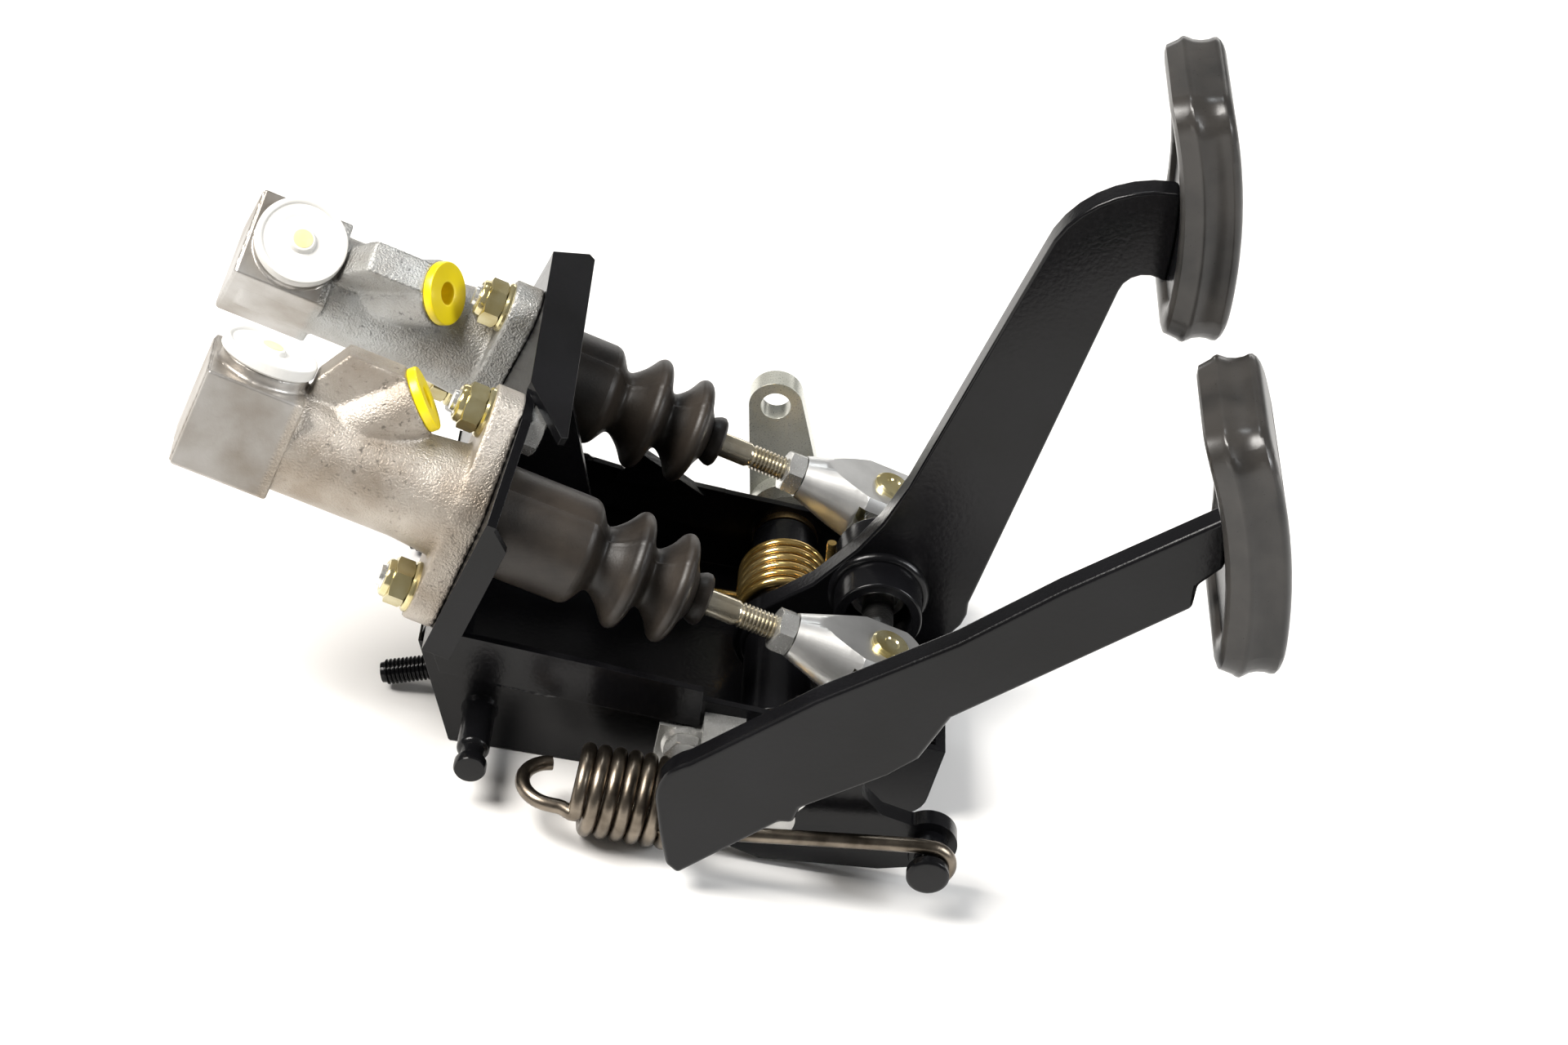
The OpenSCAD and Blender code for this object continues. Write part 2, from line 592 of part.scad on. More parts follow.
module lock_nut_at(s) color("#c9cbcf") axis_frame(s * cyl_y) difference() {
  translate([0, 0, nut_near_u]) cylinder(r = 7.4, h = nut_h, $fn = 6);
  translate([0, 0, nut_near_u - 1]) cylinder(r = rod_r, h = nut_h + 2);
}
module lock_nut_near() lock_nut_at(-1);
module lock_nut_far() lock_nut_at(1);

module cross_shaft() color("#8f9296") difference() {
  across(pivot_x, pivot_z, shaft_r, -lever_y, cable_y + 11);
  across(pivot_x, pivot_z, 4, cable_y - 10, cable_y + 12);
}

module clutch_arm() color("#131315") side_plate(-clutch_y - arm_t, -clutch_y) polygon(concat(
  [[-1, 7], [25, 33.5], [29, 34], [30, 40], [53, 58], [60, 66], [66, 83], [123, 136], [122.5, 144]],
  pad_back(clutch_pad_x, clutch_pad_z, clutch_pad_tilt, -17, 0),
  [[86, 134], [66, 114], [62, 110], [27, 81]],
  arc(2.5, 37, 15, 118, 190, 6), [[-9, 22], [-5, 10]]));

module clutch_spacer() color("#131315") side_plate(-clutch_y, -lever_y)
  polygon([[28, 48], [48, 58], [42, 70], [22, 58]]);

module helper_lever() color("#161618") difference() {
  side_plate(-lever_y, -lever_y + lever_t) difference() {
    union() {
      translate([pivot_x, pivot_z]) circle(r = 11.5);
      translate([pin_x, pin_z]) circle(r = 9);
      polygon([[pivot_x - 21, 8], [pivot_x, 2], [60, 5.5], [72, 9], [pin_x + 4, pin_z + 8], [66, 25],
        [57, 27], [50, 33], [48, 41], [50, 62], [pivot_x, 62], [pivot_x - 5, 52],
        [pivot_x - 3.5, pivot_z + 22], [pivot_x - 3.5, pivot_z + 10.8], [pivot_x - 9.4, pivot_z + 6.2],
        [pivot_x - 21, pivot_z + 6.2]]);
    }
    translate([pivot_x, pivot_z]) circle(r = shaft_r);
    translate([pin_x, pin_z]) circle(r = 4);
    translate([pivot_x + 4, pivot_z + 14]) circle(r = 3.5);
  }
}

module helper_pin() color("#17171a") {
  across(pin_x, pin_z, 4, -lever_y - 0.5, -lever_y + lever_t);
  across(pin_x, pin_z, 6, -lever_y - 5.5, -lever_y);
  across(pin_x, pin_z, pin_groove_r, -lever_y - 11.5, -lever_y - 5);
  across(pin_x, pin_z, 6.5, -lever_y - 15, -lever_y - 11);
}

module lever_bolt() color("#c4c6c2") {
  across(pivot_x + 4, pivot_z + 14, 7, -lever_y - 1.4, -lever_y);
  translate([pivot_x + 4, -lever_y - 1.3, pivot_z + 14]) rotate([90, 0, 0])
    cylinder(r = 6.2, h = 4.2, $fn = 6);
  across(pivot_x + 4, pivot_z + 14, 3.5, -lever_y - 2, -lever_y + lever_t + 1);
  translate([pivot_x + 4, -lever_y + lever_t + 5, pivot_z + 14]) rotate([90, 0, 0])
    cylinder(r = 6.2, h = 5, $fn = 6);
}

module cable_lever() color("#c9c9bf") difference() {
  union() {
    across(pivot_x, pivot_z, 13, cable_y - 6, cable_y + 10);
    side_plate(cable_y, cable_y + cable_t) {
      translate([eye_x, eye_z]) circle(r = 9);
      translate([pivot_x, pivot_z]) rotate(16)
        polygon([[-12.5, 2], [12.5, 2], [9, cable_lever_length], [-9, cable_lever_length]]);
    }
  }
  across(pivot_x, pivot_z, shaft_r, cable_y - 10, cable_y + 20);
  across(eye_x, eye_z, eye_d / 2, cable_y - 10, cable_y + 20);
}

module cable_bolt() color("#c4c6c2") {
  across(pivot_x, pivot_z, 11, cable_y + 11, cable_y + 13);
  translate([pivot_x, cable_y + 18.3, pivot_z]) rotate([90, 0, 0]) cylinder(r = 7.5, h = 5.4, $fn = 6);
  across(pivot_x, pivot_z, 4, cable_y - 9, cable_y + 14);
}

module helper_spring() color("#6b635a") wire(concat(
  // hook over the pin
  [for (i = [0:10]) let (a = -60 + i * 15.5) [pin_x + loop_r * cos(a), -hook_y, pin_z + loop_r * sin(a)]],
  [[pin_x - 12, -hook_y, pin_z + loop_r - 0.9]],
  [[coil_rear + 5, -hook_y, coil_z + 0.6]],
  // coil
  [for (i = [0:20 * helper_turns]) let (a = i * 18)
    [coil_rear - (coil_rear - coil_front) * i / (20 * helper_turns), -coil_y - helper_r * cos(a),
      coil_z - helper_r * sin(a)]],
  // front loop
  [[coil_front - 4, -coil_y - helper_r + 2, coil_z]],
  [for (i = [0:10]) let (a = 180 + i * 17) [coil_front - 7 + 9.8 * sin(a), -coil_y + 9.6 * cos(a), coil_z]]),
  wire_r, [0, 0, 1]);

tray();
bracket();
cylinder_near();
cylinder_far();
port_cap_near();
port_cap_far();
inlet_plug_near();
inlet_plug_far();
bolt_near_top();
bolt_near_low();
bolt_far_top();
bolt_far_low();
nut_near_top();
nut_near_low();
nut_far_top();
nut_far_low();
boot_near();
boot_far();
piston_spring_near();
piston_spring_far();
piston_near();
piston_far();
stud_near();
stud_far();
anchor_pin();
stop_plate();
stop_bolt();
wall_bush_near();
wall_bush_far();
torsion_spring();
brake_arm();
brake_hub();
hub_bush_near();
hub_bush_far();
balance_tube();
brake_pad_plate();
brake_pad();
balance_bar();
bar_bearing();
barrel_near();
barrel_far();
clevis_near();
clevis_far();
push_rod_near();
push_rod_far();
lock_nut_near();
lock_nut_far();
cross_shaft();
clutch_arm();
clutch_spacer();
helper_lever();
helper_pin();
lever_bolt();
clutch_pad_plate();
clutch_pad();
cable_lever();
cable_bolt();
helper_spring();
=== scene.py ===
# A pedal box for a car: two pedals hinged at the floor, a balance bar that shares the brake pedal's push between
# two master cylinders, and a clutch pedal whose cross shaft pulls a cable lever.
import math

import bmesh
import bpy
from mathutils import Matrix, Vector


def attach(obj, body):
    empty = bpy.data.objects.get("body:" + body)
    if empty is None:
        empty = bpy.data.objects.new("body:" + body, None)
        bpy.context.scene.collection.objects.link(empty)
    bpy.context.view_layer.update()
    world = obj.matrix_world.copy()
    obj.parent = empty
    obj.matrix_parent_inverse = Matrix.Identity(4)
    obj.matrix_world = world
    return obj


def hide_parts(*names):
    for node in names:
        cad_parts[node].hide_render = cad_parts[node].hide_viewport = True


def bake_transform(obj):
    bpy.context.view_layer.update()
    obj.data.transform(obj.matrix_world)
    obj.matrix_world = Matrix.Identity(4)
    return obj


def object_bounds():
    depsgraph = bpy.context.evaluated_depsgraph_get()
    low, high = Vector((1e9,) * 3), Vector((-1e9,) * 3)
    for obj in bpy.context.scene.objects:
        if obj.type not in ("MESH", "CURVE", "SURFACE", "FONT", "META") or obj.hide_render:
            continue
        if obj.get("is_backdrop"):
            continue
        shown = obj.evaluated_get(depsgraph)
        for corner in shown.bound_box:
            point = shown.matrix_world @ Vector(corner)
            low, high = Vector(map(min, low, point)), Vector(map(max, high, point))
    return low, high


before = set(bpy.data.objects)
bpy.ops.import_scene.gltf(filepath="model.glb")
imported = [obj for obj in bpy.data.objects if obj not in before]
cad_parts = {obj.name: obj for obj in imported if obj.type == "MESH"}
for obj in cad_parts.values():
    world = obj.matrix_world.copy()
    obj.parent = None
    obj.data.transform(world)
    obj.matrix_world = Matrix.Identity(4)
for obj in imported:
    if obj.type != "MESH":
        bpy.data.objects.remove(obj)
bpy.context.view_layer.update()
scene = bpy.context.scene

# Camera: looks down over the clutch side with a portrait lens, rolled because the box stands nose up on the table.
# Its place and turn were fitted to corners of the tray, pedals and linkage.
eye = Vector((-0.0696, -0.8550, 0.6835))
right = Vector((0.98191, 0.03549, 0.18599)).normalized()
ahead = Vector((0.08171, 0.80668, -0.58531)).normalized()
focal_pixels, photo_width = 4127, 1920
film_width = 36
above = right.cross(ahead).normalized()
lens = bpy.data.cameras.new("camera")
lens.sensor_fit = "HORIZONTAL"
lens.sensor_width = film_width
lens.lens = film_width * focal_pixels / photo_width
camera = bpy.data.objects.new("camera", lens)
camera.matrix_world = Matrix.Translation(eye) @ Matrix((right, above, -ahead)).transposed().to_4x4()
scene.collection.objects.link(camera)
scene.camera = camera

# Table and light: a pale tabletop that nearly burns out, one broad lamp high on the left, a weaker one on the right,
# and a long low one and a small high one behind, which draw the bright lines along the painted edges.
table_half, table_drop = 3, 0.0004
lamps_aim = Vector((0, 0, 0.08))
table_sheet = bmesh.new()
bmesh.ops.create_grid(table_sheet, x_segments=1, y_segments=1, size=table_half)
table_mesh = bpy.data.meshes.new("table")
table_sheet.to_mesh(table_mesh)
table_sheet.free()
table = bpy.data.objects.new("table", table_mesh)
table.location.z = -table_drop
scene.collection.objects.link(table)
table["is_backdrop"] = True
table_white = bpy.data.materials.new("table_white")
table_white.use_nodes = True
table_shader = table_white.node_tree.nodes["Principled BSDF"]
table_shader.inputs["Base Color"].default_value = (0.86, 0.85, 0.835, 1)
table_shader.inputs["Roughness"].default_value = 0.55
table_mesh.materials.append(table_white)
for name, place, wide, high, power, tint in (("high_left", (-1.1, -0.3, 1.5), 0.9, 0.9, 62, (1, 0.97, 0.93)),
                                             ("right", (1.5, -0.5, 1.1), 0.8, 0.8, 30, (0.96, 0.98, 1)),
                                             ("behind", (0.2, 1.9, 0.45), 1.6, 0.3, 6, (1, 0.98, 0.95)),
                                             ("window", (-0.3, 0.9, 1.6), 0.5, 0.25, 4, (0.93, 0.97, 1))):
    lamp = bpy.data.lights.new(name, "AREA")
    lamp.energy = power
    lamp.shape = "RECTANGLE"
    lamp.size = wide
    lamp.size_y = high
    lamp.color = tint
    holder = bpy.data.objects.new(name, lamp)
    holder.location = place
    holder.rotation_euler = (lamps_aim - Vector(place)).to_track_quat("-Z", "Y").to_euler()
    scene.collection.objects.link(holder)
room = bpy.data.worlds.new("room")
room.use_nodes = True
room.node_tree.nodes["Background"].inputs["Color"].default_value = (1, 0.99, 0.98, 1)
room.node_tree.nodes["Background"].inputs["Strength"].default_value = 0.16
scene.world = room
scene.view_settings.view_transform = "Standard"


# Tray: 2.5 mm steel, folded up on four sides and open at the top, then painted gloss black.
# It carries every other piece, and its bends and cut edges are softly rounded by the paint.
def span(nodes, start, end, first=0.0, last=1.0):
    """A node that carries the values from start to end over to those from first to last."""
    node = nodes.new("ShaderNodeMapRange")
    for socket, value in (("From Min", start), ("From Max", end), ("To Min", first), ("To Max", last)):
        node.inputs[socket].default_value = value
    return node


def noise(nodes, scale, detail=2):
    """A noise node with the given scale, per metre, and detail."""
    node = nodes.new("ShaderNodeTexNoise")
    node.inputs["Scale"].default_value = scale
    node.inputs["Detail"].default_value = detail
    return node


def mix(nodes, way="MIX"):
    """A node that mixes two colours."""
    node = nodes.new("ShaderNodeMix")
    node.data_type = "RGBA"
    node.blend_type = way
    return node


def surface(name, slot, dark, light, patches, grain, depth, rough, metallic=0.0, lathe=None):
    """A finish that drifts between two tones, with a fine grain, or fine turning lines, in its gloss and relief."""
    finish = bpy.data.materials.new(name)
    finish.use_nodes = True
    finish["slot"] = slot
    nodes, links = finish.node_tree.nodes, finish.node_tree.links
    shader = nodes["Principled BSDF"]
    where = nodes.new("ShaderNodeTexCoord")
    drift = noise(nodes, patches, 4)
    spread = span(nodes, 0.35, 0.65)
    tone = mix(nodes)
    tone.name = "tone"
    tone.inputs["A"].default_value = (*dark, 1)
    tone.inputs["B"].default_value = (*light, 1)
    fine = noise(nodes, grain, 5)
    gloss = span(nodes, 0, 1, *rough)
    relief = nodes.new("ShaderNodeBump")
    relief.name = "relief"
    relief.inputs["Distance"].default_value = depth
    links.new(where.outputs["Object"], drift.inputs["Vector"])
    if lathe:
        along = nodes.new("ShaderNodeVectorMath")
        along.operation = "DOT_PRODUCT"
        along.inputs[1].default_value = lathe
        fine.noise_dimensions = "1D"
        links.new(where.outputs["Object"], along.inputs[0])
        links.new(along.outputs["Value"], fine.inputs["W"])
    else:
        links.new(where.outputs["Object"], fine.inputs["Vector"])
    links.new(drift.outputs["Fac"], spread.inputs["Value"])
    links.new(spread.outputs["Result"], tone.inputs["Factor"])
    links.new(tone.outputs["Result"], shader.inputs["Base Color"])
    links.new(fine.outputs["Fac"], gloss.inputs["Value"])
    links.new(gloss.outputs["Result"], shader.inputs["Roughness"])
    links.new(fine.outputs["Fac"], relief.inputs["Height"])
    links.new(relief.outputs["Normal"], shader.inputs["Normal"])
    shader.inputs["Metallic"].default_value = metallic
    return finish


def seat(name, shape, body, finish, *nodes):
    """Makes a mesh of the shape, lets it ride on its body and stand for its CAD nodes."""
    crease = math.radians(38)
    mesh = bpy.data.meshes.new(name)
    shape.to_mesh(mesh)
    shape.free()
    mesh.shade_smooth()
    mesh.set_sharp_from_angle(angle=crease)
    mesh.materials.append(finish)
    piece = bpy.data.objects.new(name, mesh)
    scene.collection.objects.link(piece)
    piece.modifiers.new("flat_faces", "WEIGHTED_NORMAL").keep_sharp = True
    if body:
        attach(piece, body)
    if nodes:
        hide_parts(*nodes)
    return piece


def softened(node, width, segments=3):
    """A copy of a CAD node's shape with its edges rounded to the given width."""
    flat, sharp = math.radians(0.6), math.radians(30)
    shape = bmesh.new()
    shape.from_mesh(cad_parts[node].data)
    bmesh.ops.remove_doubles(shape, verts=shape.verts, dist=1e-6)
    bmesh.ops.dissolve_limit(shape, angle_limit=flat, verts=shape.verts, edges=shape.edges)
    edges = [e for e in shape.edges if len(e.link_faces) == 2 and e.calc_face_angle(0) > sharp]
    bmesh.ops.bevel(shape, geom=edges, offset=width, offset_type="OFFSET", segments=segments, profile=0.5,
                    affect="EDGES", clamp_overlap=True, material=-1)
    return shape


black_paint = surface("black_paint", "black_paint", (0.0028, 0.0028, 0.0032), (0.0055, 0.0055, 0.0065), 30, 700,
                      0.00005, rough=(0.15, 0.27))
black_paint.node_tree.nodes["Principled BSDF"].inputs["Specular IOR Level"].default_value = 0.25
seat("tray_shell", softened("tray", 0.001), "base", black_paint, "tray")

# Bracket: a plate across the tray's front with a folded top edge and near edge, two legs welded along the tray's
# walls and two gussets behind, all of the same painted steel.
seat("bracket_shell", softened("bracket", 0.001), "base", black_paint, "bracket")


def run_wire(points, radius, scales=None, sides=4):
    """A round wire or a weld bead along points, with the ends closed."""
    line = bpy.data.curves.new("wire", "CURVE")
    line.dimensions = "3D"
    line.bevel_depth = radius
    line.bevel_resolution = sides
    line.use_fill_caps = True
    spline = line.splines.new("POLY")
    spline.points.add(len(points) - 1)
    for i, point in enumerate(points):
        spline.points[i].co = (*point, 1)
        spline.points[i].radius = scales[i] if scales else 1
    holder = bpy.data.objects.new("wire", line)
    mesh = bpy.data.meshes.new_from_object(holder)
    shape = bmesh.new()
    shape.from_mesh(mesh)
    bpy.data.objects.remove(holder)
    bpy.data.curves.remove(line)
    bpy.data.meshes.remove(mesh)
    bmesh.ops.remove_doubles(shape, verts=shape.verts, dist=1e-7)
    bmesh.ops.recalc_face_normals(shape, faces=shape.faces)
    return shape


def weld(name, start, end, body, radius=0.0016):
    """A straight weld run: a bead that swells and narrows with each dab of the torch."""
    dab = 0.0006
    a, b = Vector(start), Vector(end)
    steps = max(8, int((b - a).length / dab))
    points = [a.lerp(b, i / steps) for i in range(steps + 1)]
    scales = [(0.9 + 0.1 * math.sin(i * 1.1)) * min(1, 0.45 + 0.2 * min(i, steps - i)) for i in range(steps + 1)]
    seat(name, run_wire(points, radius, scales, 2), body, black_paint)


mm = 0.001
weld("weld_leg_near_1", (-62 * mm, -55.6 * mm, 35.8 * mm), (-45 * mm, -55.6 * mm, 34.9 * mm), "base")
weld("weld_leg_near_2", (-38 * mm, -55.6 * mm, 34.5 * mm), (-27 * mm, -55.6 * mm, 33.9 * mm), "base")
weld("weld_leg_under", (-66 * mm, -56.4 * mm, 27.0 * mm), (-44 * mm, -56.4 * mm, 25.7 * mm), "base", 0.0019)
weld("weld_leg_far", (-58 * mm, 51.2 * mm, 39.4 * mm), (-44 * mm, 51.2 * mm, 38.0 * mm), "base")

# Master cylinders: sand-cast aluminium with a machined front block, a two-bolt flange and two bosses, one for the
# brake pipe and one for the fluid. The casting's edges run softly into each other.
slope = math.radians(14.5)
axis = Vector((-math.cos(slope), 0, math.sin(slope)))
bar = Vector((51 * mm, 0, 45 * mm))
plate_at, block_from, port_at, inlet_at, block_middle = 130 * mm, 196 * mm, 208 * mm, 188 * mm, 208.7 * mm
cylinders = (("near", -42 * mm, math.radians(16)), ("far", 42 * mm, math.radians(-32)))


def on_axis(y, u=0.0, roll=0.0):
    """A cylinder's own frame: z runs forward along its axis from the balance bar, x stands square to it."""
    turn = Matrix(((math.sin(slope), 0, -math.cos(slope)), (0, 1, 0), (math.cos(slope), 0, math.sin(slope))))
    return (Matrix.Translation((bar.x, y, bar.z)) @ turn.to_4x4() @ Matrix.Rotation(roll, 4, "Z")
            @ Matrix.Translation((0, 0, u)))


def joined(*shapes):
    """One shape of several that belong to one piece."""
    whole = bmesh.new()
    for shape in shapes:
        part = bpy.data.meshes.new("part")
        shape.to_mesh(part)
        shape.free()
        whole.from_mesh(part)
        bpy.data.meshes.remove(part)
    return whole


cast_aluminium = surface("cast_aluminium", "cast_aluminium", (0.30, 0.27, 0.235), (0.50, 0.49, 0.475), 40, 1500,
                         0.0006, metallic=0.8, rough=(0.30, 0.54))
cast_nodes, cast_links = cast_aluminium.node_tree.nodes, cast_aluminium.node_tree.links
# the block at the front is milled: bright and nearly smooth
block_at = cast_nodes.new("ShaderNodeVectorMath")
block_at.operation = "DOT_PRODUCT"
block_at.inputs[1].default_value = axis
cast_where = cast_nodes.new("ShaderNodeTexCoord")
block_edge = bar.dot(axis) + block_from
milled = span(cast_nodes, block_edge, block_edge + 1.5 * mm, 0.75, 0.06)
cast_links.new(cast_where.outputs["Object"], block_at.inputs[0])
cast_links.new(block_at.outputs["Value"], milled.inputs["Value"])
cast_links.new(milled.outputs["Result"], cast_nodes["relief"].inputs["Strength"])
# sand specks: dark pits that gather in patches on the rough skin and leave the block clear
pits = noise(cast_nodes, 620)
speck = span(cast_nodes, 0.28, 0.40, 0.3, 1.0)
patch = noise(cast_nodes, 75)
patchy = span(cast_nodes, 0.42, 0.60)
patched = cast_nodes.new("ShaderNodeMath")
patched.operation = "MULTIPLY"
darken = mix(cast_nodes, "MULTIPLY")
cast_links.new(cast_where.outputs["Object"], pits.inputs["Vector"])
cast_links.new(cast_where.outputs["Object"], patch.inputs["Vector"])
cast_links.new(pits.outputs["Fac"], speck.inputs["Value"])
cast_links.new(patch.outputs["Fac"], patchy.inputs["Value"])
cast_links.new(patchy.outputs["Result"], patched.inputs[0])
cast_links.new(milled.outputs["Result"], patched.inputs[1])
cast_links.new(patched.outputs["Value"], darken.inputs["Factor"])
cast_links.new(cast_nodes["tone"].outputs["Result"], darken.inputs["A"])
cast_links.new(speck.outputs["Result"], darken.inputs["B"])
# painted light: the rough skin of the near casting is tinted warm and that of the far one cool, standing for warm light
# on the near side and cool light on the far side; the milled block is left nearly untinted
across = cast_nodes.new("ShaderNodeSeparateXYZ")
painted_light_side = span(cast_nodes, -5 * mm, 5 * mm)
painted_light_hue = mix(cast_nodes)
painted_light_hue.inputs["A"].default_value = (1.0, 0.92, 0.82, 1)
painted_light_hue.inputs["B"].default_value = (0.92, 0.97, 1.0, 1)
painted_light_tint = mix(cast_nodes, "MULTIPLY")
cast_links.new(cast_where.outputs["Object"], across.inputs["Vector"])
cast_links.new(across.outputs["Y"], painted_light_side.inputs["Value"])
cast_links.new(painted_light_side.outputs["Result"], painted_light_hue.inputs["Factor"])
cast_links.new(milled.outputs["Result"], painted_light_tint.inputs["Factor"])
cast_links.new(darken.outputs["Result"], painted_light_tint.inputs["A"])
cast_links.new(painted_light_hue.outputs["Result"], painted_light_tint.inputs["B"])
cast_links.new(painted_light_tint.outputs["Result"], cast_nodes["Principled BSDF"].inputs["Base Color"])
for (side, y, roll), block_width in zip(cylinders, (33.6 * mm, 30.3 * mm)):
    rough_copy = bpy.data.objects.new("casting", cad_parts["cylinder_" + side].data.copy())
    scene.collection.objects.link(rough_copy)
    merged = bmesh.new()
    merged.from_mesh(rough_copy.data)
    bmesh.ops.remove_doubles(merged, verts=merged.verts, dist=1e-6)
    merged.to_mesh(rough_copy.data)
    merged.free()
    skin = rough_copy.modifiers.new("skin", "REMESH")
    skin.mode = "VOXEL"
    skin.voxel_size = 0.65 * mm
    bpy.context.view_layer.update()
    cast_mesh = bpy.data.meshes.new_from_object(rough_copy.evaluated_get(bpy.context.evaluated_depsgraph_get()))
    casting = bmesh.new()
    casting.from_mesh(cast_mesh)
    bpy.data.objects.remove(rough_copy)
    bpy.data.meshes.remove(cast_mesh)
    for _ in range(3):
        bmesh.ops.smooth_vert(casting, verts=casting.verts, factor=0.5, use_axis_x=True, use_axis_y=True,
                              use_axis_z=True)
    # the milled block has flat faces and crisp edges, and the near one is wide enough to take in the round body
    block = bmesh.new()
    bmesh.ops.create_cube(block, size=1)
    bmesh.ops.transform(block, matrix=Matrix.Translation((0.5 * mm, 0, block_middle))
                        @ Matrix.Diagonal((31.3 * mm, block_width, 29.6 * mm, 1)), verts=block.verts)
    bmesh.ops.bevel(block, geom=block.edges[:], offset=0.9 * mm, offset_type="OFFSET", segments=3, profile=0.5,
                    affect="EDGES", clamp_overlap=True, material=-1)
    bmesh.ops.transform(block, matrix=on_axis(y, 0, roll), verts=block.verts)
    seat("casting_" + side, joined(casting, block), "base", cast_aluminium, "cylinder_" + side)

# Caps and plugs: soft plastic closures pushed into the ports for storage. The white one has a raised rim and a
# yellow stem in its middle, the yellow one a deep hole.
def in_mm(points, lift=0):
    """A profile given in millimetres, moved up by lift."""
    return [(r * mm, (lift + h) * mm) for r, h in points]


def turned(profile, place, steps=48):
    """Spins a profile of (radius, height) points, in metres, about its own z axis and puts it in place."""
    shape = bmesh.new()
    points = [shape.verts.new((r, 0, h)) for r, h in profile]
    edges = [shape.edges.new(pair) for pair in zip(points, points[1:])]
    bmesh.ops.spin(shape, geom=points + edges, cent=(0, 0, 0), axis=(0, 0, 1), angle=2 * math.pi, steps=steps,
                   use_merge=True)
    bmesh.ops.remove_doubles(shape, verts=shape.verts, dist=1e-7)
    bmesh.ops.recalc_face_normals(shape, faces=shape.faces)
    bmesh.ops.transform(shape, matrix=place, verts=shape.verts)
    return shape


white_plastic = surface("white_plastic", "white_plastic", (0.60, 0.59, 0.56), (0.68, 0.67, 0.64), 60, 1200, 0.00003,
                        rough=(0.28, 0.40))
pale_yellow = surface("pale_yellow", "yellow_plastic", (0.80, 0.70, 0.30), (0.86, 0.78, 0.42), 90, 1200, 0.00003,
                      rough=(0.3, 0.42))
yellow_plastic = surface("yellow_plastic", "yellow_plastic", (0.86, 0.66, 0.005), (0.95, 0.76, 0.01), 60, 1200,
                         0.00003, rough=(0.25, 0.38))
cap_seat, plug_seat = 20, 36
for side, y, roll in cylinders:
    port = on_axis(y, 0, roll) @ Matrix.Translation((0, 0, port_at)) @ Matrix.Rotation(math.pi / 2, 4, "Y")
    cap = turned(in_mm((
        (0, -7), (4.7, -7), (5, -6.6), (5, 0), (14, 0), (14.5, 0.6), (14.5, 3.2), (14.2, 3.8), (13.4, 4), (12.6, 3.7),
        (12.2, 3.2), (9.5, 3.1), (9, 3.4), (8.4, 3.4), (8, 3.1), (4.6, 3.1), (4.2, 3.6), (4, 4.3), (3.6, 4.6),
        (0, 4.7)), cap_seat), port, 64)
    seat("cap_" + side, cap, "base", white_plastic, "port_cap_" + side)
    stem = turned(in_mm(((0, 3), (3.1, 3), (3.1, 4.72), (2.6, 4.9), (0, 4.9)), cap_seat), port, 32)
    seat("cap_stem_" + side, stem, "base", pale_yellow)
    inlet = on_axis(y, 0, roll) @ Matrix.Translation((0, 0, inlet_at)) @ Matrix.Rotation(math.radians(135), 4, "Y")
    plug = turned(in_mm((
        (0, -9), (5.6, -9), (6, -8.6), (6, 0), (9.6, 0), (10, 0.4), (10, 2.4), (9.7, 2.9), (9.2, 3), (4.3, 3),
        (3.6, 2.6), (3.4, -5), (0, -5)), plug_seat), inlet, 56)
    seat("plug_" + side, plug, "base", yellow_plastic, "inlet_plug_" + side)

# Flange bolts and nuts: M8 bolts with silver zinc heads behind the plate and yellow-passivated locking nuts, with a
# washer face and a rolled collar, in front of the flange.
def hexagon(corner, height, place):
    """A hexagon with both ends turned off at 30 degrees, so that each side ends in a curve."""
    flat = corner * math.cos(math.pi / 6)
    face = flat * 0.96
    shape = bmesh.new()
    loops = []
    for high, six in ((False, False), (False, True), (True, True), (True, False)):
        ring = bmesh.ops.create_circle(shape, cap_ends=False, radius=1, segments=48)["verts"]
        for v in ring:
            a = math.atan2(v.co.y, v.co.x)
            r = flat / math.cos((a % (math.pi / 3)) - math.pi / 6) if six else face
            drop = (r - face) * math.tan(math.pi / 6) if six else 0
            v.co = (r * math.cos(a), r * math.sin(a), height - drop if high else drop)
        loops.append(list({e for v in ring for e in v.link_edges}))
    for low, high in zip(loops, loops[1:]):
        bmesh.ops.bridge_loops(shape, edges=low + high)
    bmesh.ops.edgeloop_fill(shape, edges=loops[0])
    bmesh.ops.edgeloop_fill(shape, edges=loops[-1])
    bmesh.ops.recalc_face_normals(shape, faces=shape.faces)
    bmesh.ops.transform(shape, matrix=place, verts=shape.verts)
    return shape


def thread(radius, start, end, pitch=1.25 * mm):
    """Profile of a screw thread from start to end."""
    root = radius - 0.68 * mm
    turns = int(abs(end - start) / pitch)
    step = (end - start) / turns
    points = []
    for i in range(turns):
        points += [(radius, start + step * (i + 0.12)), (radius, start + step * (i + 0.3)),
                   (root, start + step * (i + 0.62)), (root, start + step * (i + 0.8))]
    return points


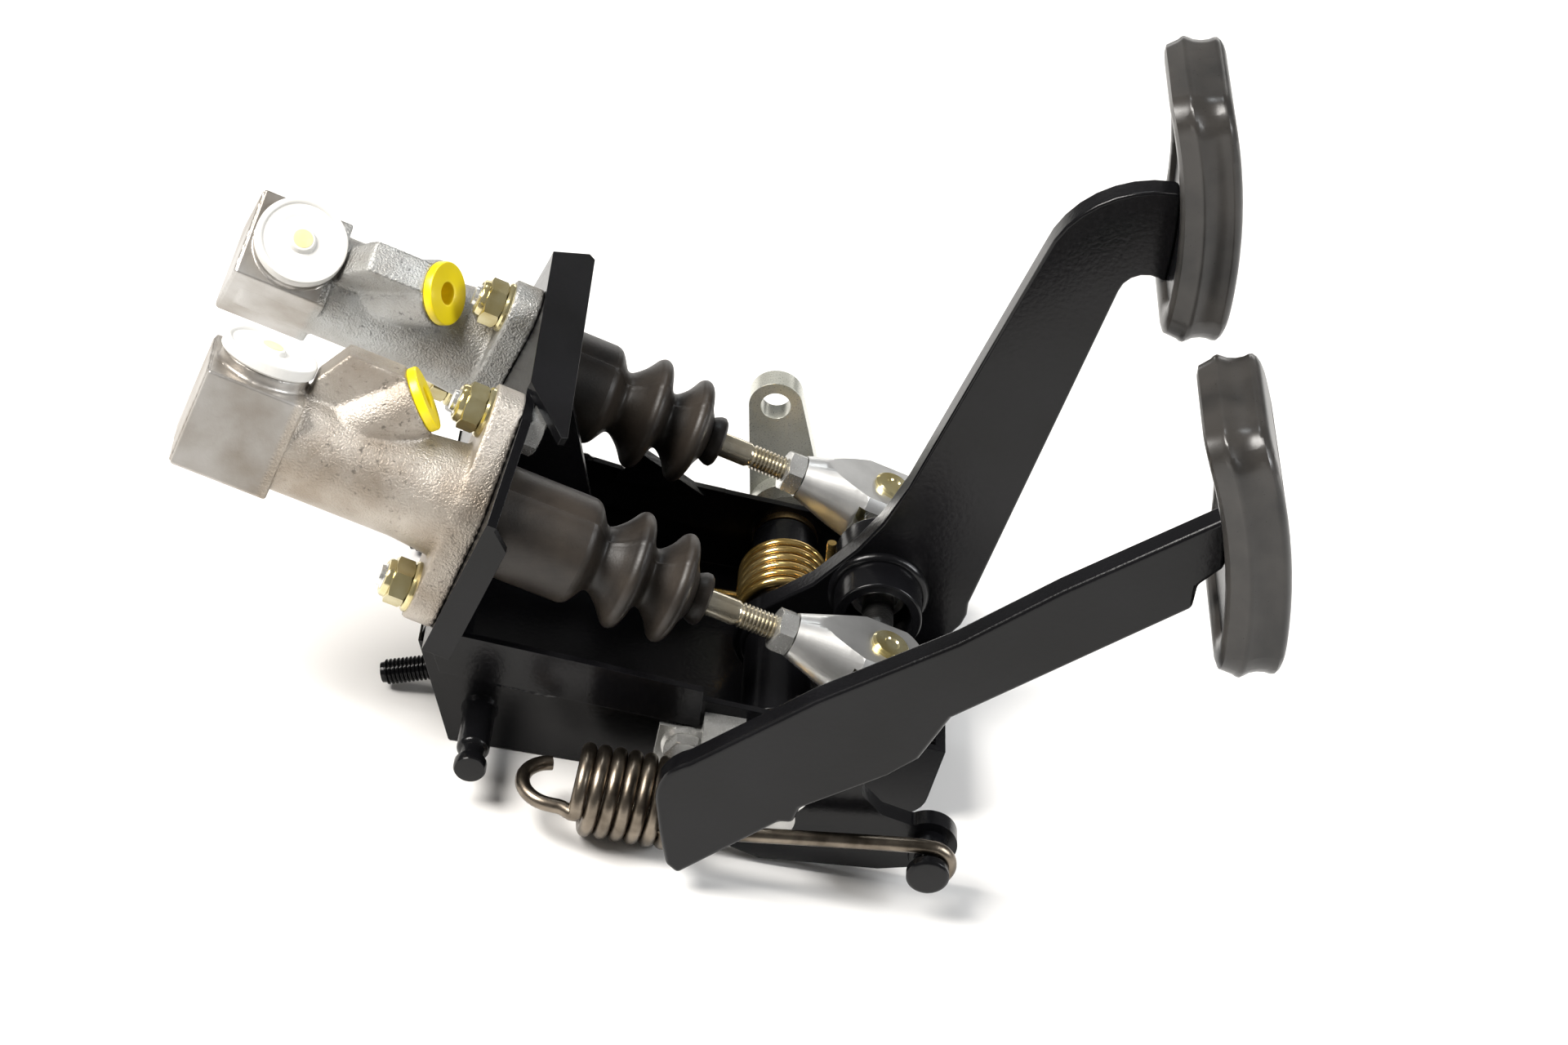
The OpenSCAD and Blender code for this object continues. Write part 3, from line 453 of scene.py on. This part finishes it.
silver_zinc = surface("silver_zinc", "silver_zinc", (0.56, 0.56, 0.54), (0.72, 0.72, 0.70), 160, 2200, 0.00001,
                      metallic=0.8, rough=(0.18, 0.32))
gold_zinc = surface("gold_zinc", "gold_zinc", (0.50, 0.41, 0.17), (0.68, 0.62, 0.38), 110, 1400, 0.000006,
                    metallic=0.85, rough=(0.12, 0.22))
half_pitch, flange_roll = 28.575 * mm, math.radians(27)
for side, s in (("near", -1), ("far", 1)):
    for end, e in (("top", 1), ("low", -1)):
        at = on_axis(s * 42 * mm, 0, -s * flange_roll) @ Matrix.Translation((e * half_pitch, 0, plate_at))
        bolt = joined(
            hexagon(7.5 * mm, 5.3 * mm, at @ Matrix.Translation((0, 0, -5.3 * mm))),
            turned([(0, -0.5 * mm), (4 * mm, -0.5 * mm), (4 * mm, 16 * mm)] + thread(4 * mm, 16 * mm, 22.4 * mm)
                   + [(3.1 * mm, 23 * mm), (0, 23 * mm)], at, 32))
        seat("bolt_%s_%s_turned" % (side, end), bolt, "base", silver_zinc, "bolt_%s_%s" % (side, end))
        nut_at = at @ Matrix.Translation((0, 0, 12 * mm))
        nut = joined(
            turned(in_mm(((4, 0), (8, 0), (8, 0.9), (7.4, 1.6), (4, 1.6))), nut_at, 40),
            hexagon(7.5 * mm, 6.1 * mm, nut_at @ Matrix.Translation((0, 0, 1.5 * mm))),
            turned(in_mm(((6, 7), (5.9, 8.6), (5.5, 9.3), (4.9, 9.5), (4.1, 9.1), (4.1, 7))), nut_at, 40))
        seat("nut_%s_%s_turned" % (side, end), nut, "base", gold_zinc, "nut_%s_%s" % (side, end))

# Boots: moulded rubber bellows, with a collar stretched over the cylinder's spigot, two folds and a neck that grips
# the push rod and moves with it. They keep dirt out of the bore; in the car they fold up as the rod goes in, but
# here each is one fixed shape and only its neck rides with the rod.
def eased(points, steps=6):
    """A smooth curve through profile points."""
    out = []
    for i in range(len(points) - 1):
        a, b, c, d = (Vector(points[max(0, min(len(points) - 1, i + k))]) for k in (-1, 0, 1, 2))
        for n in range(steps):
            t = n / steps
            out.append(tuple(0.5 * ((2 * b) + (c - a) * t + (2 * a - 5 * b + 4 * c - d) * t * t
                                    + (3 * b - a - 3 * c + d) * t ** 3)))
    return out + [tuple(points[-1])]


rubber = surface("rubber", "rubber", (0.010, 0.008, 0.0066), (0.034, 0.027, 0.021), 55, 1300, 0.00004,
                 rough=(0.34, 0.52))
rubber.node_tree.nodes["Principled BSDF"].inputs["Specular IOR Level"].default_value = 0.4
boot_profile = [(13.6, -0.2), (16.5, -0.2), (16.85, -0.6), (16.85, -12), (16.85, -27), (16.75, -29.4), (16.1, -31),
                (14.6, -32.3), (12.6, -33.6), (11, -34.8), (10.4, -36.2), (11.2, -38), (13.6, -40.8), (16.3, -43),
                (17.9, -44.2), (18.7, -45.7), (18.2, -47.3), (16.6, -48.4), (13, -49.7), (10.2, -51.1), (9.5, -52.4),
                (10.4, -54.2), (12.7, -56.6), (15.2, -58.3), (16.8, -59.3), (17.5, -60.8), (17, -62.3), (15.4, -63.4),
                (11.5, -64.8), (9.2, -65.9), (8.2, -66.5), (7.6, -66.8)]
boot_inside = [(6.2, -66.8), (6.2, -33), (13.6, -28), (13.6, -0.2)]
neck_profile = [(4.2, -67.1), (7, -67.1), (7.5, -67.9), (7.9, -68.8), (8.3, -69.7), (8.3, -71), (7.5, -71.8),
                (4.2, -71.9), (4.2, -67.1)]
seam, ridge = math.radians(-21), 0.3 * mm
for side, y, _ in cylinders:
    boot = turned(in_mm(eased(boot_profile, 4) + boot_inside), Matrix(), 120)
    # the mould's parting line: a low ridge along both sides
    for v in boot.verts:
        if abs(math.sin(math.atan2(v.co.y, v.co.x) - seam)) < 0.02 and v.co.xy.length > 7 * mm:
            v.co.xy *= 1 + ridge / v.co.xy.length
    bmesh.ops.transform(boot, matrix=on_axis(y, plate_at), verts=boot.verts)
    skin = seat("bellows_" + side, boot, None, rubber, "boot_" + side)
    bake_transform(skin)
    neck = turned(in_mm(neck_profile), on_axis(y, plate_at), 64)
    seat("bellows_neck_" + side, neck, "push_rods", rubber)

# Pistons and their springs: hidden in the bores, with the CAD's shapes. Each spring stands on the bore's end; in
# the car it shortens as its piston comes forward, here it is one fixed shape.
bronze = surface("bronze", "bronze", (0.42, 0.28, 0.13), (0.56, 0.40, 0.20), 120, 2500, 0.00003, metallic=1.0,
                 rough=(0.22, 0.36))
spring_steel = surface("spring_steel", "spring_steel", (0.10, 0.083, 0.064), (0.23, 0.195, 0.155), 140, 1800, 0.00002,
                       metallic=1.0, rough=(0.24, 0.40))


def finish_nodes(finish, *nodes):
    """Gives CAD nodes that stay as they are a finish."""
    for node in nodes:
        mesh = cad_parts[node].data
        mesh.materials.clear()
        mesh.materials.append(finish)


finish_nodes(bronze, "piston_near", "piston_far", "wall_bush_near", "wall_bush_far", "hub_bush_near", "hub_bush_far")
for side, y, _ in cylinders:
    inner_wire = bmesh.new()
    inner_wire.from_mesh(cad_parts["piston_spring_" + side].data)
    inner_spring = seat("inner_spring_" + side, inner_wire, None, spring_steel, "piston_spring_" + side)
    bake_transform(inner_spring)

# Studs and spring post: two M8 studs stand out of the front wall to bolt the box to the bulkhead, and a grooved post
# on the near wall waits for the free end of the helper spring. All are painted with the tray.
lean, stud_height = math.atan(14 / 37), 12 * mm
stud_turn = Matrix.Rotation(-math.pi / 2 - lean, 4, "Y")
for side, y in (("near", -35 * mm), ("far", 35 * mm)):
    root = Matrix.Translation((-75 * mm - stud_height * math.tan(lean), y, stud_height)) @ stud_turn
    stud = joined(
        hexagon(6.5 * mm, 4 * mm, root @ Matrix.Translation((0, 0, -6.52 * mm))),
        turned([(0, -3 * mm), (4 * mm, -3 * mm), (4 * mm, 0), (3.4 * mm, 0), (3.4 * mm, 1.6 * mm)]
               + thread(4 * mm, 1.6 * mm, 19.8 * mm) + [(3.2 * mm, 20.6 * mm), (0, 20.6 * mm)], root, 40))
    seat("stud_%s_turned" % side, stud, "base", black_paint, "stud_" + side)
across_near = Matrix.Rotation(math.pi / 2, 4, "X")
post = turned(in_mm((
    (0, -3.5), (4, -3.5), (4, 0), (5.8, 0), (5.2, 1.2), (5, 2), (5, 18.8), (4.6, 19.6), (3.8, 20.2), (3.6, 21),
    (3.6, 23.6), (3.9, 24.4), (4.6, 24.9), (5, 25.6), (5, 28.1), (4.6, 28.8), (3.8, 29), (0, 29))),
    Matrix.Translation((-67 * mm, -56 * mm, 14 * mm)) @ across_near, 40)
seat("spring_post", post, "base", black_paint, "anchor_pin")

# Stop: a zinc-plated plate on the near wall, held by one flanged bolt, whose tab stops the clutch pedal's return.
seat("stop_tab", softened("stop_plate", 0.0005), "base", silver_zinc, "stop_plate")
stop_at = Matrix.Translation((-3 * mm, -59 * mm, 16 * mm)) @ across_near
stop_bolt = joined(
    turned(in_mm(((0, -4), (4, -4), (4, 0), (7.5, 0), (7.5, 0.7), (6.4, 1.6), (0, 1.6))), stop_at, 40),
    hexagon(6.6 * mm, 5 * mm, stop_at @ Matrix.Translation((0, 0, 1.5 * mm))),
    hexagon(6.6 * mm, 6 * mm, stop_at @ Matrix.Translation((0, 0, -11.5 * mm))))
seat("stop_bolt_turned", stop_bolt, "base", silver_zinc, "stop_bolt")

# Return spring: gold-passivated wire wound on the brake hub. Its front leg lies on the tray's floor and its rear leg
# pushes the balance tube, so it winds up between tray and pedal.
pivot = Vector((24 * mm, 0, 18 * mm))
wound, coil_steps = 13.4, 400
coil = [(x, 35, -wound) for x in (-34, -26, -17, -8)]
for i in range(1, coil_steps):
    a = math.radians(270 + 2250 * i / coil_steps)
    coil.append((wound * math.cos(a), 35 - 26 * i / coil_steps, wound * math.sin(a)))
coil += [(13.3, 9, 3), (12.9, 9, 8), (11.1, 9, 27), (10.4, 9, 34)]
spring_wire = run_wire([pivot + Vector(p) * mm for p in coil], 1.5 * mm, sides=4)
warm_gold = surface("warm_gold", "gold_zinc", (0.58, 0.37, 0.10), (0.78, 0.57, 0.24), 110, 1400, 0.000006, metallic=0.9,
                    rough=(0.14, 0.24))
return_spring = seat("return_spring", spring_wire, None, warm_gold, "torsion_spring")
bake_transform(return_spring)

# Brake pedal: an 8 mm plate arm, flame cut and bent forward at the top, welded to the hub that turns on the cross
# shaft and to the balance tube above it. Painted as one.
seat("brake_arm_plate", softened("brake_arm", 0.0015, 4), "brake_pedal", black_paint, "brake_arm")
seat("hub_tube", softened("brake_hub", 0.0006), "brake_pedal", black_paint, "brake_hub")
seat("balance_tube_ring", softened("balance_tube", 0.0007), "brake_pedal", black_paint, "balance_tube")


def weld_ring(name, centre, radius, size):
    """A weld run round a tube where it meets the brake arm, laid in one smooth pass."""
    steps = int(radius * math.radians(360) / 0.0007)
    angles = [math.radians(360 * i / steps) for i in range(steps + 1)]
    points = [Vector(centre) + Vector((radius * math.cos(a), 0, radius * math.sin(a))) for a in angles]
    scales = [0.97 + 0.03 * math.sin(i * 0.45) for i in range(steps + 1)]
    seat(name, run_wire(points, size, scales, 4), "brake_pedal", black_paint)


for side, s in (("near", -1), ("far", 1)):
    weld_ring("weld_tube_" + side, (bar.x, s * 4.3 * mm, bar.z), 14.2 * mm, 0.0020)
    weld_ring("weld_hub_" + side, (pivot.x, s * 4.3 * mm, pivot.z), 11.2 * mm, 0.0016)

# Pads: a bowed steel plate welded to each arm, with a moulded rubber cover pulled over its edge. The cover has a lip
# behind, a slight waist round its side and five slots across its face. Plate and cover stand where the CAD has them.
def pad_ring(shape, depth, grow):
    """One turn of the pad's outline, narrower at the top, at a depth from its back and grown outward."""
    w, h, r = 21 + grow, 29 + grow, 10
    corners = []
    for x, y, turn in ((w - 5, h, 0), (5 - w, h, 90), (-w, -h, 180), (w, -h, 270)):
        corners.append([(x + r * math.cos(math.radians(turn + 9 * k)), y + r * math.sin(math.radians(turn + 9 * k)))
                        for k in range(11)])
    outline = []
    for corner, after in zip(corners, corners[1:] + corners[:1]):
        outline += corner
        outline += [tuple(Vector(corner[-1]).lerp(Vector(after[0]), k / 9)) for k in range(1, 9)]
    ring = bmesh.ops.create_circle(shape, cap_ends=False, radius=1, segments=len(outline))["verts"]
    for v, (x, y) in zip(ring, outline):
        v.co = (x * mm, y * mm, depth * mm)
    return list({e for v in ring for e in v.link_edges})


def pad_cover(place):
    """The rubber cover: drawn flat, slotted, then bowed and put on its plate."""
    cover = bmesh.new()
    face, slot_reach, slot_depth, bow = 15.9 * mm, 22 * mm, 4.5 * mm, 150 * mm
    skin = ((2, -9), (-0.2, -8.4), (-1.4, -7.2), (-1.7, -5.4), (-1.3, -3.4), (-0.4, -1.9), (3.2, -0.75), (4.2, -0.2),
            (5, 0), (5.9, -0.25), (7.4, -0.75), (9.6, -0.95), (11.8, -0.75), (13.2, -0.35), (14.2, -0.3),
            (15.1, -0.9), (15.7, -1.9), (16, -3.2))
    rings = [pad_ring(cover, depth, grow) for depth, grow in skin]
    for low, high in zip(rings, rings[1:]):
        bmesh.ops.bridge_loops(cover, edges=low + high)
    bmesh.ops.edgeloop_fill(cover, edges=rings[0])
    bmesh.ops.edgeloop_fill(cover, edges=rings[-1])
    slots = [(10.5 * i - 2, 10.5 * i + 2) for i in range(-2, 3)]
    cuts = [((0, y * mm, 0), (0, 1, 0)) for slot in slots for y in slot]
    cuts += [((0, y * mm, 0), (0, 1, 0)) for y in (-33, -28, 28, 33)]
    cuts += [((x, 0, 0), (1, 0, 0)) for x in (-slot_reach, slot_reach)]
    for point, across in cuts:
        bmesh.ops.bisect_plane(cover, geom=cover.verts[:] + cover.edges[:] + cover.faces[:], plane_co=point,
                               plane_no=across, dist=1e-7)
    floors = []
    for low, high in slots:
        for f in cover.faces:
            x, y, z = f.calc_center_bounds()
            if z > face and low * mm < y < high * mm and abs(x) < slot_reach:
                floors.append(f)
    sunk = bmesh.ops.extrude_face_region(cover, geom=floors)["geom"]
    bmesh.ops.translate(cover, vec=(0, 0, -slot_depth), verts=[v for v in sunk if isinstance(v, bmesh.types.BMVert)])
    bmesh.ops.delete(cover, geom=floors, context="FACES_ONLY")
    bmesh.ops.recalc_face_normals(cover, faces=cover.faces)
    rims = [e for e in cover.edges if len(e.link_faces) == 2 and e.calc_face_angle(0) > 1.2
            and all(v.co.z > face for v in e.verts)]
    bmesh.ops.bevel(cover, geom=rims, offset=0.7 * mm, offset_type="OFFSET", segments=3, profile=0.5, affect="EDGES",
                    clamp_overlap=True, material=-1)
    for v in cover.verts:
        v.co.z = math.sqrt((bow + v.co.z) ** 2 - v.co.y ** 2) - bow
    bmesh.ops.recalc_face_normals(cover, faces=cover.faces)
    bmesh.ops.transform(cover, matrix=place, verts=cover.verts)
    return cover


pad_rubber = surface("pad_rubber", "rubber", (0.012, 0.0112, 0.0104), (0.034, 0.031, 0.028), 60, 1500, 0.000008,
                     rough=(0.24, 0.36))
for pedal, arm, middle, tilt in (("brake", "brake_pedal", (107.5, 0, 207.5), 12),
                                 ("clutch", "clutch_pedal", (124, -104, 168), 17)):
    t = math.radians(tilt)
    pad_turn = Matrix(((0, -math.sin(t), math.cos(t)), (1, 0, 0), (0, math.cos(t), math.sin(t)))).to_4x4()
    place = Matrix.Translation(Vector(middle) * mm) @ pad_turn
    seat(pedal + "_plate", softened(pedal + "_pad_plate", 0.0006), arm, black_paint, pedal + "_pad_plate")
    seat(pedal + "_cover", pad_cover(place), arm, pad_rubber, pedal + "_pad")

# Balance bar: a hardened steel bar, threaded at both ends, that rocks on a spherical bearing in the brake pedal's tube
# and carries a brass-coloured barrel in each clevis. Screwing it sideways shifts the braking to one cylinder.
turned_steel = surface("turned_steel", "spring_steel", (0.36, 0.355, 0.345), (0.50, 0.495, 0.48), 120, 6000, 0.00002,
                       metallic=1.0, rough=(0.20, 0.34), lathe=(0, 1, 0))
across_far = Matrix.Rotation(-math.pi / 2, 4, "X")
bar_end = thread(5 * mm, 29 * mm, 56.4 * mm, 1.5 * mm)
bar_shape = turned([(0, -57 * mm), (4.2 * mm, -57 * mm)] + [(r, -h) for r, h in reversed(bar_end)]
                   + [(5 * mm, -28 * mm), (5 * mm, 28 * mm)] + bar_end + [(4.2 * mm, 57 * mm), (0, 57 * mm)],
                   Matrix.Translation(bar) @ across_far, 40)
seat("balance_bar_turned", bar_shape, "push_rods", turned_steel, "balance_bar")
finish_nodes(turned_steel, "bar_bearing")

# Linkage on each side of the bar: a barrel, a forked aluminium clevis, a lock nut, and a push rod whose thread shows
# behind the nut and whose ball end sits in the piston.
turned_aluminium = surface("turned_aluminium", "turned_aluminium", (0.60, 0.60, 0.59), (0.74, 0.74, 0.73), 80, 5000,
                           0.00002, metallic=0.9, rough=(0.30, 0.44), lathe=tuple(axis))
pale_gold = surface("pale_gold", "gold_zinc", (0.50, 0.44, 0.32), (0.72, 0.67, 0.55), 130, 1800, 0.00001, metallic=0.85,
                    rough=(0.16, 0.28))
for side, y, _ in cylinders:
    barrel = turned(in_mm((
        (0, -10.6), (2.2, -10.6), (2.6, -11), (5.5, -11), (6.25, -10.3), (6.25, 10.3), (5.5, 11), (2.6, 11),
        (2.2, 10.6), (0, 10.6))), on_axis(y) @ Matrix.Rotation(math.pi / 2, 4, "Y"), 40)
    seat("barrel_%s_turned" % side, barrel, "push_rods", gold_zinc, "barrel_" + side)
    seat("fork_" + side, softened("clevis_" + side, 0.0011), "push_rods", turned_aluminium, "clevis_" + side)
    rod = turned([(0, 12 * mm), (3.3 * mm, 12 * mm)] + thread(4 * mm, 12.5 * mm, 47 * mm) + [(4 * mm, 48 * mm)]
                 + in_mm(((4, 142.6), (4.3, 144.2), (4.5, 146), (4.2, 147.8), (3.2, 149.3), (1.7, 150.2), (0, 150.5))),
                 on_axis(y), 40)
    seat("rod_" + side, rod, "push_rods", pale_gold, "push_rod_" + side)
    seat("jam_nut_" + side, hexagon(7.4 * mm, 6 * mm, on_axis(y, 29 * mm)), "push_rods", silver_zinc,
         "lock_nut_" + side)

# Clutch pedal: a second plate arm on the near end of the cross shaft, with a spacer and a lever beside it.
# The lever's front lobe meets the stop, and its rear end carries a grooved pin for the helper spring.
shaft = turned(in_mm(((0, -89), (8, -89), (8, 82.4), (7.4, 83), (0, 83))),
               Matrix.Translation(pivot) @ across_far, 48)
seat("shaft_turned", shaft, "clutch_pedal", turned_steel, "cross_shaft")
seat("clutch_arm_plate", softened("clutch_arm", 0.0015, 4), "clutch_pedal", black_paint, "clutch_arm")
seat("clutch_spacer_block", softened("clutch_spacer", 0.0006), "clutch_pedal", black_paint, "clutch_spacer")
seat("helper_lever_plate", softened("helper_lever", 0.0008), "clutch_pedal", black_paint, "helper_lever")
pin = turned(in_mm((
    (0, -6), (4, -6), (4, 0), (6, 0), (6, 4.6), (5.5, 5.3), (4.3, 5.7), (4, 6.2), (4, 10.6), (4.4, 11.1), (6, 11.3),
    (6.5, 11.9), (6.5, 14.2), (6, 14.8), (5.2, 15), (0, 15))),
    Matrix.Translation((73 * mm, -89 * mm, 18 * mm)) @ across_near, 40)
seat("helper_pin_turned", pin, "clutch_pedal", black_paint, "helper_pin")
lever_bolt_at = Matrix.Translation((28 * mm, -89 * mm, 32 * mm)) @ across_near
lever_bolt = joined(
    turned(in_mm(((0, 0), (7, 0), (7, 0.9), (6.3, 1.4), (0, 1.4))), lever_bolt_at, 40),
    hexagon(6.2 * mm, 4.2 * mm, lever_bolt_at @ Matrix.Translation((0, 0, 1.3 * mm))),
    turned(in_mm(((0, -7), (3.5, -7), (3.5, 0.5), (0, 0.5))), lever_bolt_at, 32),
    hexagon(6.2 * mm, 5 * mm, lever_bolt_at @ Matrix.Translation((0, 0, -11 * mm))))
seat("lever_bolt_turned", lever_bolt, "clutch_pedal", silver_zinc, "lever_bolt")

# Cable lever: a machined steel lever with a long boss on the far end of the shaft, held by a bolt and a thick washer,
# with an eye for the clutch cable. Its zinc plating has gone slightly olive.
olive_zinc = surface("olive_zinc", "silver_zinc", (0.44, 0.445, 0.385), (0.60, 0.60, 0.54), 60, 2400, 0.00001,
                     metallic=0.6, rough=(0.22, 0.36))
seat("cable_lever_arm", softened("cable_lever", 0.0009), "clutch_pedal", olive_zinc, "cable_lever")
cable_bolt_at = Matrix.Translation((24 * mm, 83 * mm, 18 * mm)) @ across_far
cable_bolt = joined(
    turned(in_mm(((0, 0), (10.6, 0), (11, 0.4), (11, 1.6), (10.6, 2), (0, 2))), cable_bolt_at, 48),
    hexagon(7.5 * mm, 5.4 * mm, cable_bolt_at @ Matrix.Translation((0, 0, 1.9 * mm))))
seat("cable_bolt_turned", cable_bolt, "clutch_pedal", silver_zinc, "cable_bolt")

# Helper spring: thick oiled spring wire with a closed coil, hooked over the lever's pin. Its front loop goes over the
# post on the tray once the box is in the car; here it hangs free.
hook_y, coil_y, coil_z, hook_radius, coil_radius = -97.3, -85.35, 14.55, 6.5, 11.95
path = [(73 + hook_radius * math.cos(math.radians(a)), hook_y, 18 + hook_radius * math.sin(math.radians(a)))
        for a in (-60 + 15.5 * i for i in range(11))]
path += [(61, hook_y, 23.6), (-0.8, hook_y, 15.15)]
for i in range(121):
    a = math.radians(18 * i)
    path.append((-5.8 - 28.2 * i / 120, coil_y - coil_radius * math.cos(a), coil_z - coil_radius * math.sin(a)))
path.append((-38, -95.3, coil_z))
for i in range(11):
    a = math.radians(180 + 17 * i)
    path.append((-41 + 9.8 * math.sin(a), coil_y + 9.6 * math.cos(a), coil_z))
helper = run_wire([Vector(p) * mm for p in eased(path, 4)], 2.3 * mm, sides=5)
seat("helper_spring_wire", helper, "helper_spring", spring_steel, "helper_spring")

# The bounds of the pieces shown here, the table left out.
low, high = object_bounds()
